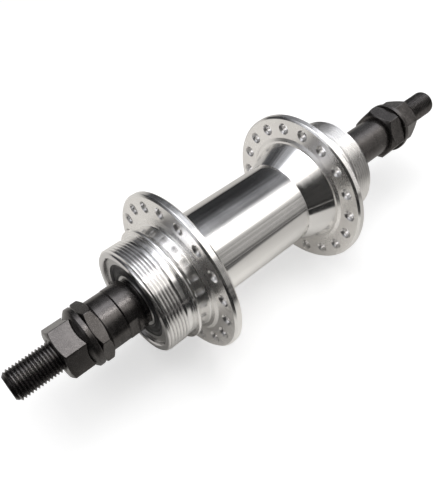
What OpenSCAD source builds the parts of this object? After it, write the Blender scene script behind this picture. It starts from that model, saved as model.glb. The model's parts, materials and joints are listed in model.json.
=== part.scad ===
// Double-threaded rear bicycle hub on a solid axle with two sealed ball bearings.
// The axle lies along Y. The left, brake side is -Y and the right, freewheel side is +Y.
// The origin is the middle of the axle's length, on its axis. +Z is up.
// The threads in sight are rings of V grooves at the thread's pitch; the hidden ones are plain.

/* [Axle] */
// Length of the axle, tip to tip
axle_l = 189; // [184:1:194]
// Width over the two locknuts, which is the gap between the frame's dropouts
over_locknuts = 138.5; // [132:0.5:142]
// Axle left bare outside the left locknut
left_stub_l = 24; // [22:0.5:27]
// Crest diameter of the axle's threads
axle_thread_d = 9.5; // [9:0.1:9.7]
// Pitch of the axle's threads
axle_pitch = 0.977; // [0.9:0.001:1.1]
// Width of the axle's thread grooves at the crests
axle_groove_w = 0.72; // [0.5:0.02:0.8]
// Depth of the axle's thread grooves
axle_groove_depth = 0.5; // [0.3:0.02:0.6]
// Diameter of the plain middle of the axle, whose ends stop the bearings
axle_body_d = 12; // [11.4:0.2:13.4]
// Chamfer at each tip of the axle
tip_chamfer = 1.2; // [0.6:0.1:1.6]
// Diameter of the centre-drilled cone in each end of the axle
centre_d = 3; // [2:0.2:4]

/* [Bearings] */
// Bore of the bearings, which is also the axle's journal diameter
bearing_bore_d = 10; // [9.9:0.1:10.4]
// Outer diameter of the bearings
bearing_d = 30; // [29:0.25:31]
// Width of the bearings
bearing_w = 9; // [8.4:0.2:10]
// Diameter of the balls
ball_d = 4.76; // [4.4:0.02:4.9]
// Balls in each bearing
ball_count = 8; // [7:1:9]
// Depth of the shoulders beside each ball groove, as sunk into the rings
groove_depth = 0.95; // [0.7:0.05:1.1]
// Depth of the steps that seat the seals, below the outer ring's shoulders
seal_step = 1.15; // [1.1:0.05:1.4]
// Thickness of the rubber seals
seal_t = 1.1; // [0.8:0.05:1.3]
// How far the seals sit below the bearing's faces
seal_inset = 0.2; // [0.1:0.05:0.3]
// Depth of the bearings below the ends of the hub shell
bearing_recess = 1; // [0.5:0.1:2]

/* [Hub shell] */
// Diameter of the spoke flanges
flange_d = 54.4; // [53:0.2:58]
// Thickness of the spoke flanges
flange_t = 2.9; // [2.5:0.1:3.6]
// Gap between the inner faces of the two flanges
flange_gap = 51.7; // [48:0.1:53]
// Chamfer at the edges of the flanges
flange_edge = 0.6; // [0.3:0.1:1]
// Diameter of the barrel between the flanges
barrel_d = 28.9; // [27.4:0.1:31]
// Cove where the barrel meets the left flange
barrel_cove = 2; // [1:0.25:3]
// Large diameter of the drum that carries the right flange
drum_d = 36.4; // [34:0.2:37.4]
// Length of the drum's taper
drum_l = 8.6; // [6:0.2:14]
// Diameter of the raised rings around the flange roots
root_ring_d = 39.8; // [39:0.2:41]
// Height of the raised rings
root_ring_h = 0.7; // [0.4:0.1:1]
// Width of the bevel on the raised rings
root_ring_bevel = 0.95; // [0.4:0.05:1.1]
// Inside diameter of the barrel
hollow_d = 23.6; // [22:0.2:25]
// Length of the left threaded boss, from the flange's outer face to its end
left_boss_l = 16; // [15:0.2:19]
// Length of the right threaded boss
right_boss_l = 16.8; // [15:0.2:19]
// Crest diameter of the boss threads
boss_thread_d = 34.9; // [34.4:0.1:35.2]
// Length of the boss threads, with the end chamfer
boss_thread_l = 7.8; // [7:0.1:8.6]
// Pitch of the boss threads
boss_pitch = 1.058; // [1:0.001:1.1]
// Width of the boss thread grooves at the crests
boss_groove_w = 0.48; // [0.3:0.02:0.5]
// Depth of the boss thread grooves
boss_groove_depth = 0.42; // [0.3:0.02:0.6]
// Chamfer at the outer end of the bosses
boss_chamfer = 0.7; // [0.4:0.05:0.9]
// Diameter of the plain run-out behind the threads
runout_d = 34.2; // [33.6:0.1:34.3]
// Length of the plain run-out
runout_l = 1.8; // [1:0.1:2.2]
// Diameter of the shoulder that a screwed-on part seats against
shoulder_d = 37.6; // [36.6:0.1:38.4]
// Width of the shoulder
shoulder_w = 0.9; // [0.6:0.1:1.6]
// Diameter of the neck between the shoulder and the flange
neck_d = 34.8; // [34:0.1:35.6]

/* [Spoke holes] */
// Spoke holes in each flange
holes_per_flange = 18; // [14:1:20]
// Distance of the spoke holes' centres from the flange's rim
hole_rim = 4; // [3.4:0.1:4.6]
// Diameter of the spoke holes
hole_d = 2.7; // [2.3:0.1:3]
// Diameter of the countersinks on both faces
sink_d = 4; // [3.6:0.1:4.4]
// Turn of the left flange's first hole from +X towards +Z, in degrees
left_hole_turn = 1.6; // [0:0.1:20]

/* [Cones and spacers] */
// Length of each bearing cone
cone_l = 7.2; // [6.4:0.1:8]
// Outer diameter of the cones
cone_d = 16.5; // [16:0.1:18]
// Diameter of the nose that presses on the bearing's inner ring
nose_d = 15; // [14:0.1:15.8]
// Width across the cone's wrench flats
cone_flats = 15; // [14:0.1:15.8]
// Length of the wrench flats
cone_flats_l = 3.1; // [2:0.1:4]
// Outer diameter of the left spacer
left_spacer_d = 16.2; // [15.4:0.1:16.8]
// Outer diameter of the right spacer
right_spacer_d = 14; // [13.4:0.1:15.4]
// Length of the left spacer; the right one fills what is left
left_spacer_l = 6; // [4:0.1:7]
// Chamfer at the edges of cones and spacers
ring_edge = 0.3; // [0.1:0.05:0.5]

/* [Nuts and washers] */
// Width across the flats of the locknuts
locknut_flats = 16.8; // [16:0.1:18]
// Thickness of the left locknut
left_locknut_t = 3.8; // [3:0.1:5]
// Thickness of the right locknut
right_locknut_t = 7; // [5:0.1:8]
// How far the chamfers cut back the corners of the left locknut
left_locknut_cut = 0.9; // [0.5:0.05:1.1]
// How far the chamfers cut back the corners of the right locknut
right_locknut_cut = 1.25; // [0.8:0.05:1.5]
// Width across the flats of the axle nuts
nut_flats = 14.8; // [14:0.1:16]
// Length of the axle nuts at their corners
nut_l = 7.2; // [6:0.1:9]
// How far the chamfer cuts back the outer corners of the axle nuts
nut_cut = 0.7; // [0.4:0.05:1]
// Diameter of the axle nuts' washers
washer_d = 18.8; // [18.2:0.1:21]
// Height of the washer's cylindrical rim
washer_rim_h = 1.5; // [1:0.1:2]
// Diameter of the washer's cone where it leaves the bevel of the rim
washer_seat_d = 17.6; // [17.2:0.1:18]
// Height of the bevel between rim and cone
washer_bevel_h = 0.6; // [0.3:0.05:1]
// Angle of the washer's cone above the washer's face
seat_angle = 35; // [25:1:40]

/* [Fits] */
// Radial room between fixed threaded pieces and the axle
thread_room = 0.03; // [0.01:0.01:0.05]
// Radial room between the turning nuts, their washers and the axle
nut_room = 0.06; // [0.03:0.01:0.1]
// Radial room between the spacers and the axle
spacer_room = 0.2; // [0.1:0.05:0.3]
// Gap between each nut and the cone of its washer
seat_gap = 0.2; // [0.1:0.05:0.3]
// Room around the balls in their grooves
ball_room = 0.03; // [0.02:0.01:0.05]
// Gap under the lips of the seals
lip_gap = 0.05; // [0.03:0.01:0.1]
// Room around the balls in the cage
pocket_room = 0.1; // [0.05:0.01:0.15]

/* [Hidden] */
$fn = 96;

// Overshoot of cutting tools past the faces that they open
over = 1;

// Colours of the finishes
polished = [0.86, 0.86, 0.87];
black_steel = [0.20, 0.19, 0.19];
bright_steel = [0.72, 0.73, 0.75];
cage_steel = [0.62, 0.60, 0.55];
rubber = [0.07, 0.07, 0.075];

// Stations along Y, from the left tip inwards and then from the right locknut
left_face_y = left_stub_l - axle_l / 2;
right_face_y = left_face_y + over_locknuts;
left_bearing_y = left_face_y + left_locknut_t + left_spacer_l + cone_l;
left_boss_y = left_bearing_y - bearing_recess;
left_flange_y = left_boss_y + left_boss_l + flange_t;
right_flange_y = left_flange_y + flange_gap;
right_boss_y = right_flange_y + flange_t + right_boss_l;
right_bearing_y = right_boss_y - bearing_recess;
right_cone_y = right_bearing_y + cone_l;
right_spacer_l = right_face_y - right_locknut_t - right_cone_y;

// Radii
axle_r = axle_thread_d / 2;
journal_r = bearing_bore_d / 2;
ball_r = ball_d / 2;
pitch_r = (bearing_bore_d + bearing_d) / 4;
inner_land_r = pitch_r - ball_r + groove_depth;
outer_land_r = pitch_r + ball_r - groove_depth;
seal_seat_r = outer_land_r + seal_step;
seal_seat_depth = seal_inset + seal_t;
hole_step = 360 / holes_per_flange;

// Turns of the hexagons and flats about the axle, as they were left by the wrench
left_nut_turn = 44.5;
left_locknut_turn = 28.6;
left_cone_turn = 2;
right_nut_turn = 32;
right_locknut_turn = 56.5;
right_cone_turn = 40;

// Places children at y with their +Z pointing outwards along the left half of the axle
module face_left(y) {
    translate([0, y, 0]) rotate([90, 0, 0]) children();
}

// Places children at y with their +Z pointing outwards along the right half of the axle
module face_right(y) {
    translate([0, y, 0]) rotate([-90, 0, 0]) children();
}

// Flat ring between two radii, from z = 0 to h
module ring(r_in, r_out, h) {
    rotate_extrude() polygon([[r_in, 0], [r_out, 0], [r_out, h], [r_in, h]]);
}

// Profile points of the V grooves that fit between z0 and z1, one crest before each
function grooves(r, z0, z1, pitch, w, depth) = [
    for (i = [1 : floor((z1 - z0) / pitch)])
        each [
            [r, z0 + i * pitch - w],
            [r - depth, z0 + i * pitch - w / 2],
            [r, z0 + i * pitch]
        ]
];

// Doughnut of tube radius r around the axis at radius big_r
module torus(big_r, r) {
    rotate_extrude() translate([big_r, 0]) circle(r = r);
}

// Tube from z = 0 to h with chamfered outer edges
module edged_tube(r_in, r_out, h, edge) {
    rotate_extrude() polygon([
        [r_in, 0], [r_out - edge, 0], [r_out, edge],
        [r_out, h - edge], [r_out - edge, h], [r_in, h]
    ]);
}

// One spoke hole along Z, countersunk on both faces of a flange that spans z = 0 to flange_t
module spoke_hole() {
    sink_h = (sink_d - hole_d) / 2;
    translate([0, 0, -over]) cylinder(d = hole_d, h = flange_t + 2 * over);
    translate([0, 0, -over]) cylinder(d1 = sink_d + 2 * over, d2 = hole_d, h = sink_h + over);
    translate([0, 0, flange_t - sink_h]) cylinder(d1 = hole_d, d2 = sink_d + 2 * over, h = sink_h + over);
}

// Flange, neck, shoulder and threaded boss of one end.
// z = 0 is the flange's inner face and +Z points outwards.
module shell_end(boss_l, hole_turn) {
    flange_r = flange_d / 2;
    ring_r = root_ring_d / 2;
    neck_r = neck_d / 2;
    shoulder_r = shoulder_d / 2;
    thread_r = boss_thread_d / 2;
    end_z = flange_t + boss_l;
    runout_z = end_z - boss_thread_l - runout_l;
    cove_r = shoulder_r - neck_r;
    cove_z = runout_z - shoulder_w - cove_r;
    thread_z = runout_z + runout_l + (boss_thread_d - runout_d) / 2;
    chamfer_z = end_z - boss_chamfer;
    difference() {
        rotate_extrude() polygon(concat(
            [
                [0, 0],
                [flange_r - flange_edge, 0],
                [flange_r, flange_edge],
                [flange_r, flange_t - flange_edge],
                [flange_r - flange_edge, flange_t],
                [ring_r, flange_t],
                [ring_r - root_ring_bevel, flange_t + root_ring_h],
                [neck_r, flange_t + root_ring_h],
                [neck_r, cove_z],
                [shoulder_r, cove_z],
                [shoulder_r, runout_z],
                [runout_d / 2, runout_z],
                [runout_d / 2, runout_z + runout_l],
                [thread_r, thread_z]
            ],
            grooves(thread_r, thread_z, chamfer_z, boss_pitch, boss_groove_w, boss_groove_depth),
            [
                [thread_r, chamfer_z],
                [thread_r - boss_chamfer, end_z],
                [0, end_z]
            ]
        ));
        translate([0, 0, cove_z]) torus(shoulder_r, cove_r);
        for (i = [0 : holes_per_flange - 1])
            rotate([0, 0, hole_turn + i * hole_step])
                translate([flange_r - hole_rim, 0, 0]) spoke_hole();
    }
}

// Bearing seat bored into one end. z = 0 is the end face and -Z points into the shell.
module bearing_seat() {
    depth = bearing_recess + bearing_w;
    mouth = bearing_recess / 3;
    translate([0, 0, -depth]) cylinder(d = bearing_d, h = depth + over);
    translate([0, 0, -mouth])
        cylinder(d1 = bearing_d, d2 = bearing_d + 2 * (mouth + over), h = mouth + over);
}

// Tapered drum and raised ring on the inner face of the right flange, with -Z towards the barrel
module drum() {
    ring_r = root_ring_d / 2;
    translate([0, 0, -root_ring_h - drum_l])
        cylinder(d1 = barrel_d, d2 = drum_d, h = drum_l);
    translate([0, 0, -root_ring_h])
        cylinder(r1 = ring_r - root_ring_bevel, r2 = ring_r, h = root_ring_h);
}

// Cove ring where the barrel meets the inner face of the left flange, with -Z towards the barrel
module barrel_root() {
    root_r = barrel_d / 2 + barrel_cove;
    difference() {
        translate([0, 0, -barrel_cove]) cylinder(r = root_r, h = barrel_cove);
        translate([0, 0, -barrel_cove]) torus(root_r, barrel_cove);
    }
}

// Turned and polished aluminium shell in one piece
module hub_shell() {
    shell_l = right_boss_y - left_boss_y;
    color(polished) difference() {
        union() {
            face_left(left_flange_y) shell_end(left_boss_l, left_hole_turn);
            face_left(left_flange_y) barrel_root();
            face_right(left_flange_y) cylinder(d = barrel_d, h = flange_gap);
            face_right(right_flange_y) drum();
            // The two flanges' holes are staggered by half a step
            face_right(right_flange_y)
                shell_end(right_boss_l, hole_step / 2 - left_hole_turn);
        }
        face_right(left_boss_y - over) cylinder(d = hollow_d, h = shell_l + 2 * over);
        face_left(left_boss_y) bearing_seat();
        face_right(right_boss_y) bearing_seat();
    }
}

// End of the axle with its chamfered, centre-drilled tip, from z = 0 to l,
// with the thread in sight from thread_z on
module axle_end(l, thread_z) {
    chamfer_z = l - tip_chamfer;
    difference() {
        rotate_extrude() polygon(concat(
            [[0, 0], [axle_r, 0]],
            grooves(axle_r, thread_z, chamfer_z, axle_pitch, axle_groove_w, axle_groove_depth),
            [[axle_r, chamfer_z], [axle_r - tip_chamfer, l], [0, l]]
        ));
        translate([0, 0, l - centre_d / 2])
            cylinder(d1 = 0, d2 = centre_d + 2 * over, h = centre_d / 2 + over);
    }
}

// Solid steel axle: plain middle, two journals and two threaded ends
module axle() {
    // The journals stop short of the bearings' faces so that the cones can press on the rings
    journal_short = 0.3;
    body_from = left_bearing_y + bearing_w;
    body_to = right_bearing_y - bearing_w;
    color(black_steel) union() {
        face_right(body_from) cylinder(d = axle_body_d, h = body_to - body_from);
        face_left(body_from) cylinder(r = journal_r, h = bearing_w - journal_short);
        face_right(body_to) cylinder(r = journal_r, h = bearing_w - journal_short);
        face_left(body_from) axle_end(body_from + axle_l / 2, body_from - left_face_y);
        face_right(body_to) axle_end(axle_l / 2 - body_to, right_face_y - body_to);
    }
}

// The bearing's pieces have z = 0 at the bearing's outer face, and the bearing fills -Z

module bearing_outer_ring() {
    edge = 0.4;
    color(bright_steel) difference() {
        translate([0, 0, -bearing_w]) edged_tube(outer_land_r, bearing_d / 2, bearing_w, edge);
        translate([0, 0, -bearing_w / 2]) torus(pitch_r, ball_r + ball_room);
        translate([0, 0, -seal_seat_depth]) cylinder(r = seal_seat_r, h = seal_seat_depth + over);
        translate([0, 0, -bearing_w - over]) cylinder(r = seal_seat_r, h = seal_seat_depth + over);
    }
}

module bearing_inner_ring() {
    edge = 0.25;
    color(bright_steel) difference() {
        translate([0, 0, -bearing_w]) edged_tube(journal_r, inner_land_r, bearing_w, edge);
        translate([0, 0, -bearing_w / 2]) torus(pitch_r, ball_r + ball_room);
    }
}

// Repeats children at each ball's place around the bearing, at mid-width
module at_each_ball() {
    for (i = [0 : ball_count - 1])
        rotate([0, 0, i * 360 / ball_count]) translate([0, 0, -bearing_w / 2]) children();
}

module bearing_balls() {
    color(bright_steel) at_each_ball() translate([pitch_r, 0, 0]) sphere(r = ball_r);
}

// Ring cage with a pocket drilled through it for each ball
module bearing_cage() {
    // Radial thickness of the cage, and its width beside the balls
    wall = 1.5;
    side = 0.45;
    w = ball_d + 2 * side;
    color(cage_steel) difference() {
        translate([0, 0, -(bearing_w + w) / 2]) ring(pitch_r - wall / 2, pitch_r + wall / 2, w);
        at_each_ball()
            rotate([0, 90, 0]) cylinder(r = ball_r + pocket_room, h = pitch_r + wall);
    }
}

// Rubber seal with a thick outer bead, a thinner web and a lip over the inner ring.
// z = 0 is the bearing's face and the seal lies below it.
module bearing_seal() {
    lip_r = inner_land_r + lip_gap;
    bead = 0.9;
    lip = 0.7;
    dish = seal_t / 3;
    top = -seal_inset;
    color(rubber) rotate_extrude() polygon([
        [lip_r, top - seal_t],
        [seal_seat_r, top - seal_t],
        [seal_seat_r, top],
        [seal_seat_r - bead, top],
        [seal_seat_r - bead - dish, top - dish],
        [lip_r + lip + dish, top - dish],
        [lip_r + lip, top],
        [lip_r, top - dish / 2]
    ]);
}

// Threaded cone that clamps the bearing's inner ring against the axle's shoulder.
// z = 0 is the ring's face and +Z points outwards.
module bearing_cone(turn) {
    nose_h = 0.8;
    taper_h = (cone_d - nose_d) / 2;
    flat_at = cone_flats / 2;
    color(black_steel) difference() {
        rotate_extrude() polygon([
            [axle_r + thread_room, 0],
            [nose_d / 2, 0],
            [nose_d / 2, nose_h],
            [cone_d / 2, nose_h + taper_h],
            [cone_d / 2, cone_l - ring_edge],
            [cone_d / 2 - ring_edge, cone_l],
            [axle_r + thread_room, cone_l]
        ]);
        for (side = [0, 180])
            rotate([0, 0, turn + side])
                translate([flat_at, -cone_d, cone_l - cone_flats_l])
                    cube([cone_d, 2 * cone_d, cone_flats_l + over]);
    }
}

module spacer(d, l) {
    color(black_steel) edged_tube(axle_r + spacer_room, d / 2, l, ring_edge);
}

// Hexagonal bar of width flats from z = 0 to h, with chamfered corners:
// the corners are cut back by cut_low at z = 0 and by cut_high at z = h
module hex_bar(flats, h, cut_low, cut_high, turn) {
    corner_r = flats / 2 / cos(30);
    // Each chamfer cone starts this far inside the flats and runs this far past the corners
    inset = 0.25;
    past = 0.2;
    face_r = flats / 2 - inset;
    outer_r = corner_r + past;
    steep = (outer_r - face_r) / (corner_r - face_r);
    low = cut_low > 0 ? [[face_r, 0], [outer_r, cut_low * steep]] : [[outer_r, 0]];
    high = [[outer_r, h - cut_high * steep], [face_r, h]];
    intersection() {
        rotate([0, 0, turn]) cylinder(r = corner_r, h = h, $fn = 6);
        rotate_extrude() polygon(concat([[0, 0]], low, high, [[0, h]]));
    }
}

module locknut(t, cut, turn) {
    color(black_steel) difference() {
        hex_bar(locknut_flats, t, cut, cut, turn);
        translate([0, 0, -over]) cylinder(r = axle_r + thread_room, h = t + 2 * over);
    }
}

// Height of the washer's conical seat above the locknut's face, at radius r
function seat_z(r) =
    washer_rim_h + washer_bevel_h + (washer_seat_d / 2 - r) * tan(seat_angle);

// Washer that stays with its axle nut: flat against the dropout, conical under the nut
module conical_washer() {
    edge = 0.3;
    bore_r = axle_r + nut_room;
    color(black_steel) rotate_extrude() polygon([
        [bore_r, 0],
        [washer_d / 2 - edge, 0],
        [washer_d / 2, edge],
        [washer_d / 2, washer_rim_h],
        [washer_seat_d / 2, washer_rim_h + washer_bevel_h],
        [bore_r, seat_z(bore_r)]
    ]);
}

// Axle nut whose hollow end seats on the washer's cone. z = 0 is the locknut's face.
module axle_nut(turn) {
    corner_r = nut_flats / 2 / cos(30);
    low_z = seat_z(corner_r) + seat_gap;
    color(black_steel) difference() {
        translate([0, 0, low_z]) hex_bar(nut_flats, nut_l, 0, nut_cut, turn);
        // Hollow cone, one gap above the washer's cone
        translate([0, 0, seat_gap]) rotate_extrude() polygon([
            [0, seat_z(washer_seat_d / 2) - over],
            [washer_seat_d / 2 + over, seat_z(washer_seat_d / 2 + over) - over],
            [washer_seat_d / 2 + over, seat_z(washer_seat_d / 2 + over)],
            [0, seat_z(0)]
        ]);
        cylinder(r = axle_r + nut_room, h = low_z + nut_l + over);
    }
}

hub_shell();
axle();
face_left(left_bearing_y) bearing_outer_ring();  // left_bearing_outer_ring
face_left(left_bearing_y) bearing_inner_ring();  // left_bearing_inner_ring
face_left(left_bearing_y) bearing_balls();  // left_bearing_balls
face_left(left_bearing_y) bearing_cage();  // left_bearing_cage
face_left(left_bearing_y) bearing_seal();  // left_bearing_outer_seal
face_right(left_bearing_y + bearing_w) bearing_seal();  // left_bearing_inner_seal
face_right(right_bearing_y) bearing_outer_ring();  // right_bearing_outer_ring
face_right(right_bearing_y) bearing_inner_ring();  // right_bearing_inner_ring
face_right(right_bearing_y) bearing_balls();  // right_bearing_balls
face_right(right_bearing_y) bearing_cage();  // right_bearing_cage
face_right(right_bearing_y) bearing_seal();  // right_bearing_outer_seal
face_left(right_bearing_y - bearing_w) bearing_seal();  // right_bearing_inner_seal
face_left(left_bearing_y) bearing_cone(left_cone_turn);  // left_cone
face_left(left_bearing_y - cone_l) spacer(left_spacer_d, left_spacer_l);  // left_spacer
face_left(left_face_y + left_locknut_t)  // left_locknut
        locknut(left_locknut_t, left_locknut_cut, left_locknut_turn);
face_left(left_face_y) conical_washer();  // left_washer
face_left(left_face_y) axle_nut(left_nut_turn);  // left_axle_nut
face_right(right_bearing_y) bearing_cone(right_cone_turn);  // right_cone
face_right(right_cone_y) spacer(right_spacer_d, right_spacer_l);  // right_spacer
face_right(right_face_y - right_locknut_t)  // right_locknut
        locknut(right_locknut_t, right_locknut_cut, right_locknut_turn);
face_right(right_face_y) conical_washer();  // right_washer
face_right(right_face_y) axle_nut(right_nut_turn);  // right_axle_nut
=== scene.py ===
"""Looks of a double-threaded rear bicycle hub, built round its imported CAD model.

Y is the axle. The hub's lengths are in millimetres until a mesh or a shader takes them,
and the studio's are in metres.
"""

import json
import math

import bmesh
import bpy
from mathutils import Matrix, Vector


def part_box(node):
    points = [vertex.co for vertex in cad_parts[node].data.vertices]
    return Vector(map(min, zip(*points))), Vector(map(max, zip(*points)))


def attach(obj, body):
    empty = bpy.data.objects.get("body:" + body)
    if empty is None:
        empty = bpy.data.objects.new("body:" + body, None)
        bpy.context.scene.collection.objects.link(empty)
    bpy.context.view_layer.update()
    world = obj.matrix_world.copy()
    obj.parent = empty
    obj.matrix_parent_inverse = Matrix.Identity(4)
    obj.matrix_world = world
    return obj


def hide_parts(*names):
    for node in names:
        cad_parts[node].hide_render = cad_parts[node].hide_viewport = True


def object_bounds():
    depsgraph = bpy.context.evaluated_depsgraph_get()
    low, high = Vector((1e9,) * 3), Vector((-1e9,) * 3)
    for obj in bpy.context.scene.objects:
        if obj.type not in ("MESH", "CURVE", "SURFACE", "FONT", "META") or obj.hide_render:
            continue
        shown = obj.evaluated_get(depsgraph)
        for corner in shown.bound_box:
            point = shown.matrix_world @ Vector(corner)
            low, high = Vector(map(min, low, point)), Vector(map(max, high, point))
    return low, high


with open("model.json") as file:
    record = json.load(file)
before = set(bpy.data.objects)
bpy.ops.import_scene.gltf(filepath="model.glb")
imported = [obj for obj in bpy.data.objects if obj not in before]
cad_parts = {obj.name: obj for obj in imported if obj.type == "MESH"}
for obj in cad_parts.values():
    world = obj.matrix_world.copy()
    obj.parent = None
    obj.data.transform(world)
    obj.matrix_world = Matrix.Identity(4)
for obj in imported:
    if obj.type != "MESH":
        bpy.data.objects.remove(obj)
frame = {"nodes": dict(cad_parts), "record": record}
cad_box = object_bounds()
MM = 0.001
COS_30 = math.cos(math.radians(30))
# Each end of the hub, and its way along Y
SIDES = {"left": -1, "right": 1}

# Hub shell, measured outwards from each flange's inner face
FLANGE_T = 2.9
FLANGE_EDGE = 0.6
BARREL_R = 14.45
BARREL_COVE = 2.0
DRUM_R = 18.2
DRUM_L = 8.6
ROOT_RING_R = 19.9
ROOT_RING_H = 0.7
ROOT_RING_BEVEL = 0.95
HOLLOW_R = 11.8
NECK_R = 17.4
COVE_R = 1.4
SHOULDER_R = 18.8
SHOULDER_W = 0.9
RUNOUT_R = 17.1
RUNOUT_L = 1.8
BOSS_L = {"left": 16.0, "right": 16.8}
BOSS_THREAD_L = 7.8
BOSS_CREST_R = 17.45
BOSS_CHAMFER = 0.7
BOSS_PITCH = 25.4 / 24
BOSS_FADE = 1.2 * BOSS_PITCH
SEAT_R = 15.0
SEAT_MOUTH = 1 / 3

# Fillets of the shell, and straight leads in front of its coves and the drum
RIM_FILLET = 0.3
EDGE_FILLET = 0.15
SHOULDER_FILLET = 0.12
RING_FILLET = 0.1
NECK_FILLET = 0.5
DRUM_FILLET = 0.4
FACE_LEAD = 1.0
DRUM_LEAD = 2.0
COVE_LEAD = 0.2

# Spoke holes, and how far their cutter stands out of the flange
HOLES = 18
HOLE_CIRCLE_R = 23.2
HOLE_R = 1.35
SINK_R = 2.0
SINK_FILLET = 0.9
CUT_PAST = 1.0
LEFT_HOLE_TURN = 1.6

# Axle
AXLE_CREST_R = 4.75
AXLE_PITCH = 25.4 / 26
AXLE_FADE = 2 * AXLE_PITCH
TIP_CHAMFER = 1.2
CENTRE_R = 1.5
JOURNAL_R = 5.0
AXLE_BODY_R = 6.0
JOURNAL_SHORT = 0.3

# Spacers and cones
SPACER_ROOM = 0.2
SPACER_FILLET = 0.3
THREAD_ROOM = 0.03
CONE_NOSE_R = 7.5
CONE_NOSE_H = 0.8
CONE_NOSE_FILLET = 0.15
CONE_TAPER = 0.75
CONE_FILLET = 0.2
CONE_FLATS = 15.0
CONE_FLATS_L = 3.1
# Rim of a cone's flats: distances below its outer face and below the flat
CONE_RIM = ((CONE_FLATS_L, 0.0), (0.3, 0.0), (0.12, 0.1), (0.0, 0.3))
# A flat's reach is cut off where it would run past the cone's round
LEAST_COS = 0.05

# Locknuts, axle nuts and washers
FACE_INSET = 0.25
HEX_EDGE = 0.09
HEX_CORNER_R = 0.35
LOCKNUT_FLATS = 16.8
LOCKNUT_CUT = {"left": 0.9, "right": 1.25}
LOCKNUT_MOUTH = 0.5
NUT_ROOM = 0.06
NUT_FLATS = 14.8
NUT_CUT = 0.7
NUT_MOUTH = 0.6
NUT_SKIRT = (0.16, 0.12)
WASHER_RIM_H = 1.5
WASHER_SEAT_R = 8.8
WASHER_BEVEL_H = 0.6
WASHER_FACE_FILLET = 0.3
WASHER_RIM_FILLET = 0.12
WASHER_SEAT_FILLET = 0.25
SEAT_SLOPE = math.tan(math.radians(35))
SEAT_GAP = 0.2

# How far a flat's or a corner's middle is turned from +Z towards +X, in degrees
CONE_TURN = {"left": 88.0, "right": 50.0}
LOCKNUT_TURN = {"left": 61.4, "right": 146.5}
NUT_TURN = {"left": 45.5, "right": 122.0}

# One turn of thread: share of the pitch and share of the depth
THREAD_FORM = ((0.0, 0.0), (0.14, 0.0), (0.5, 1.0), (0.64, 1.0), (1.0, 0.0))
# Depth of a 60 degree thread in pitches
THREAD_DEPTH = 0.613

# Columns round a turned piece
SHELL_COLUMNS = 288
SMALL_COLUMNS = 96
AXLE_COLUMNS = 72
HOLE_COLUMNS = 40
# Steps of a fillet, of an arc, and along a hexagon's flats and corners
FILLET_STEPS = 3
FINE_STEPS = 4
ARC_STEPS = 8
FLAT_STEPS = 10
CORNER_STEPS = 4
# Most of its shorter side that a fillet may take
FILLET_SHARE = 0.45
# Points closer than this become one, and edges shorter than this go, in metres
WELD = 1e-7
SLIVER = 1e-8
# Edges sharper than this stay sharp, and large faces pull the normals this much
SHARP = math.radians(38)
AREA_WEIGHT = 80


def station(node, side, end):
    """Place along the axle of a node's near (0) or far (1) end, going outwards on that side."""
    low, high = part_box(node)
    ends = (low.y, high.y) if side > 0 else (high.y, low.y)
    return ends[end] / MM


def radius_of(node):
    """Largest reach of a node from the axle along Z."""
    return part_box(node)[1].z / MM


def outwards(face, side):
    """Function that turns a distance outwards from a face into a place along the axle."""
    return lambda distance: face + side * distance


# Outlines and meshes


def rounded(points, steps=FILLET_STEPS):
    """Open outline of (y, r) or (y, r, fillet) points, with its inner corners rounded."""
    out = []
    for i, point in enumerate(points):
        p = Vector(point[:2])
        if len(point) < 3:
            out.append(tuple(p))
            continue
        u = Vector(points[i - 1][:2]) - p
        v = Vector(points[i + 1][:2]) - p
        half = u.angle(v) / 2
        size = min(point[2], FILLET_SHARE * min(u.length, v.length) * math.tan(half))
        u.normalize()
        v.normalize()
        centre = p + (u + v).normalized() * size / math.sin(half)
        start = p + u * size / math.tan(half) - centre
        turn = math.pi - 2 * half
        if u.cross(v) > 0:
            turn = -turn
        for k in range(steps + 1):
            spin = Matrix.Rotation(turn * k / steps, 2)
            out.append(tuple(centre + spin @ start))
    return out


def arc(y, r, size, start, end):
    """Points of an arc round (y, r), with its angles in degrees from +y towards +r."""
    angles = [math.radians(start + (end - start) * k / ARC_STEPS) for k in range(ARC_STEPS + 1)]
    return [(y + size * math.cos(a), r + size * math.sin(a)) for a in angles]


def thread_depth(phase):
    """Share of a thread's full depth at a share of its pitch."""
    spans = zip(THREAD_FORM, THREAD_FORM[1:])
    (t0, d0), (t1, d1) = next(span for span in spans if phase <= span[1][0])
    return d0 + (d1 - d0) * (phase - t0) / (t1 - t0)


def thread(low, high, pitch, crest, limit, plain, fade, fade_end):
    """Rows of a right-hand thread from y = low to high, each giving (y, r) at a share of a turn.

    limit(y) is the radius that a chamfer leaves. The thread fades into radius plain
    over the length fade, at the end named by fade_end: -1 is low and +1 is high.
    """

    def surface(y, turns):
        phase = ((y - low) / pitch - turns) % 1.0
        r = crest - THREAD_DEPTH * pitch * thread_depth(phase)
        left = (high - y if fade_end > 0 else y - low) / fade
        share = max(0.0, 1.0 - left)
        r += (plain - r) * share * share * (3 - 2 * share)
        return y, min(r, limit(y))

    def row(start):
        return lambda turns: surface(min(max(start + pitch * turns, low), high), turns)

    count = math.ceil((high - low) / pitch) + 1
    starts = [low + pitch * (turn + t) for turn in range(-1, count) for t, _ in THREAD_FORM[:-1]]
    return [row(start) for start in starts]


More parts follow.
